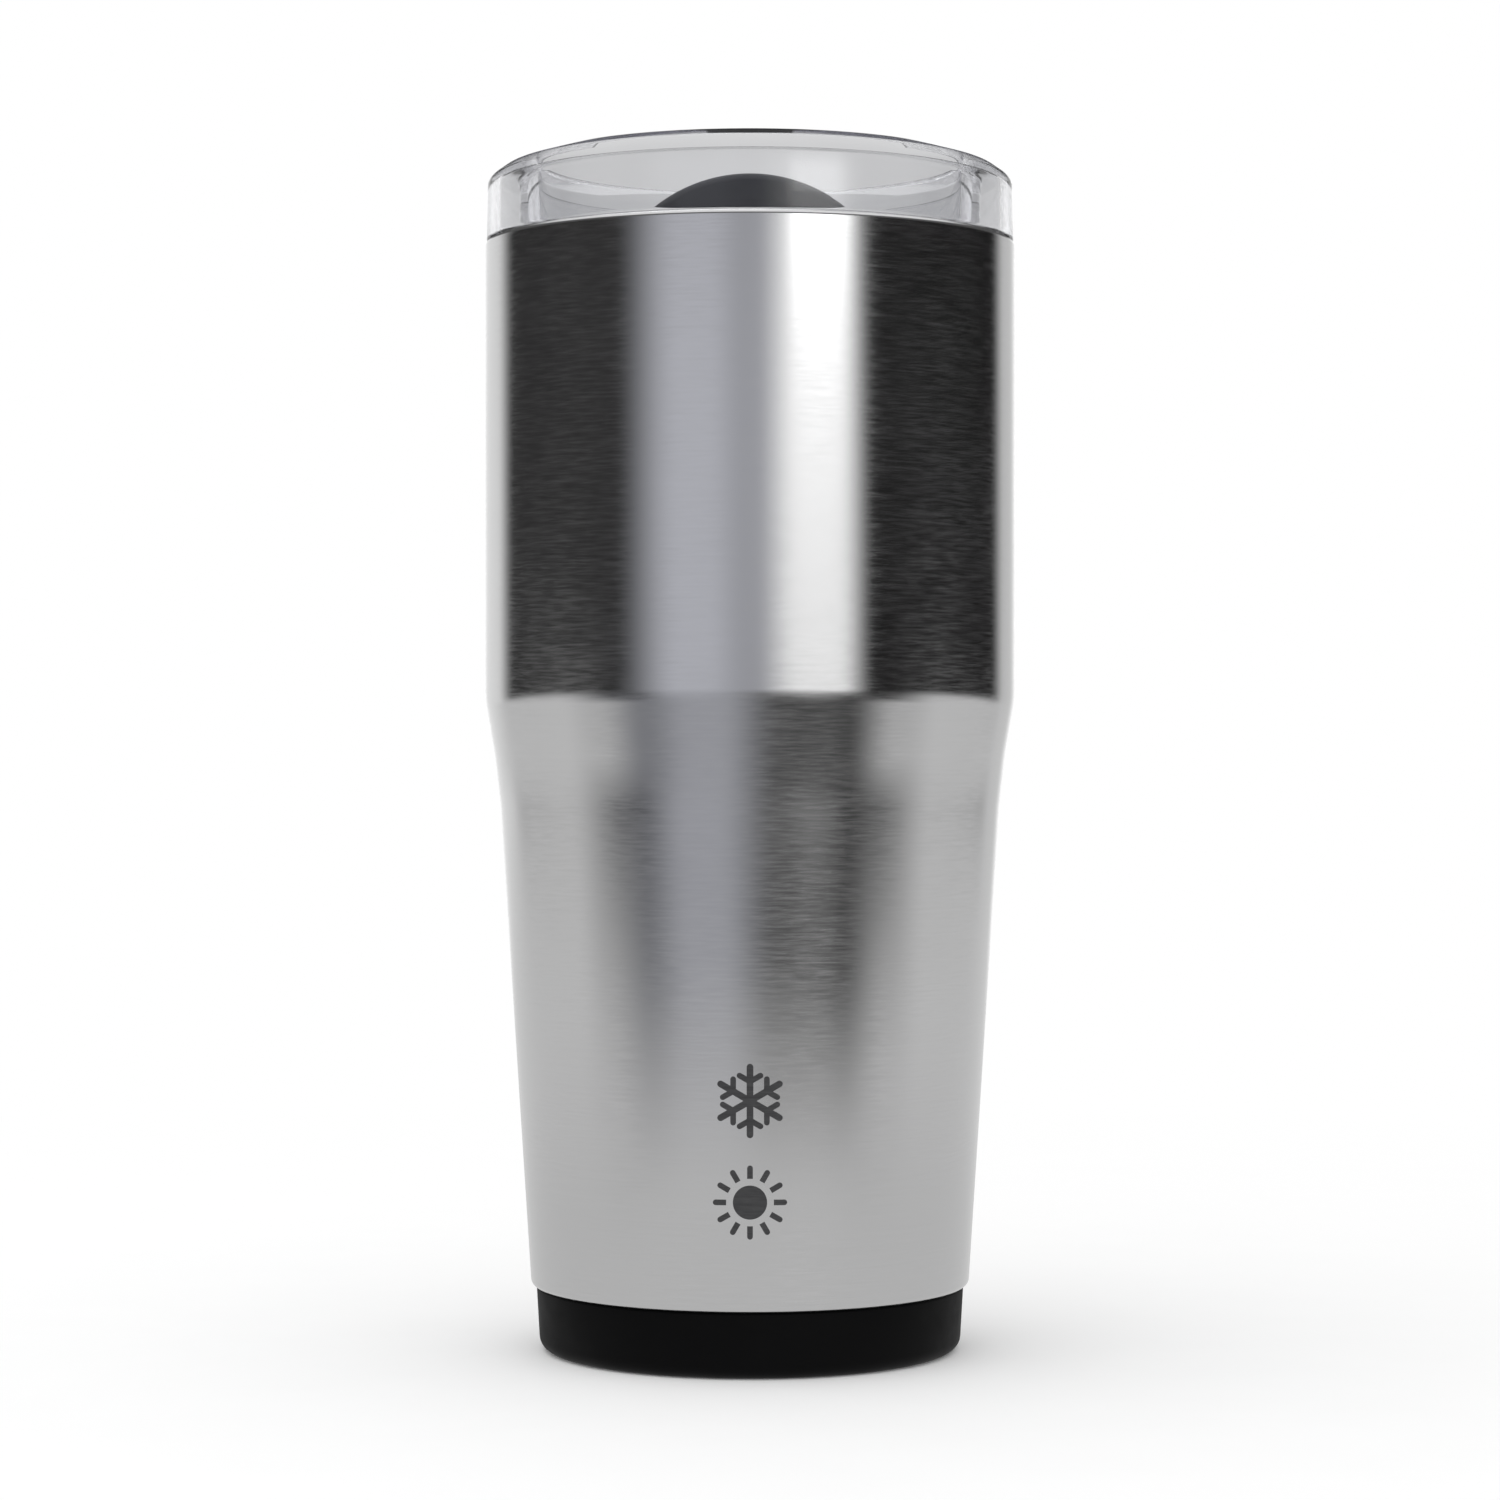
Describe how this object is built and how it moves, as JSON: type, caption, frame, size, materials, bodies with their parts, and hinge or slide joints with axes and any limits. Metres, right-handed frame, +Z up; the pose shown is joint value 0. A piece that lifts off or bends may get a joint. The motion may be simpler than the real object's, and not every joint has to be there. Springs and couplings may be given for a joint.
{
  "type": "insulated tumbler",
  "caption": "Double-wall steel tumbler for drinks with a clear press-in lid, a turning dial that opens a sip slot or a straw hole, and a silicone boot.",
  "frame": {"origin": "centre of the foot on the table", "axes": "+Z up along the axis of the cup, -Y towards the drinking side, +X to the right when seen from that side"},
  "size_m": [0.096, 0.096, 0.2152],
  "materials": {
    "brushed_steel": "brushed round the body",
    "liner_steel": "satin, polished at the rolled lip",
    "plain_steel": "mill finish",
    "copper": "bright foil",
    "getter": "pressed powder",
    "solder_glass": "fused, glossy",
    "adhesive": "tacky film",
    "black_silicone": "matt",
    "grey_silicone": "matt",
    "clear_silicone": "translucent, matt",
    "clear_plastic": "clear, polished",
    "dark_plastic": "moulded, satin gloss",
    "white_plastic": "plain"
  },
  "bodies": {
    "tumbler": {"outer_shell": "brushed_steel", "outer_base": "plain_steel", "inner_liner": "liner_steel", "liner_bottom": "liner_steel", "copper_foil": "copper", "getter_pellet": "getter", "getter_holder": "plain_steel", "port_solder": "solder_glass", "port_cover": "plain_steel", "boot_adhesive": "adhesive", "silicone_boot": "black_silicone"},
    "lid": {"lid_body": "clear_plastic", "lid_gasket": "clear_silicone"},
    "dial": {"dial": "dark_plastic", "dial_seal": "grey_silicone", "pivot_o_ring": "black_silicone", "thrust_washer": "white_plastic", "retaining_clip": "plain_steel"}
  },
  "joints": [
    {"name": "lid_lift", "type": "slide", "parent": "tumbler", "child": "lid", "axis": [0, 0, 1], "range_m": [0, 0.04]},
    {"name": "dial_turn", "type": "hinge", "parent": "lid", "child": "dial", "pos_m": [0, 0, 0.1996], "axis": [0, 0, 1], "range_deg": [-60, 60]}
  ]
}
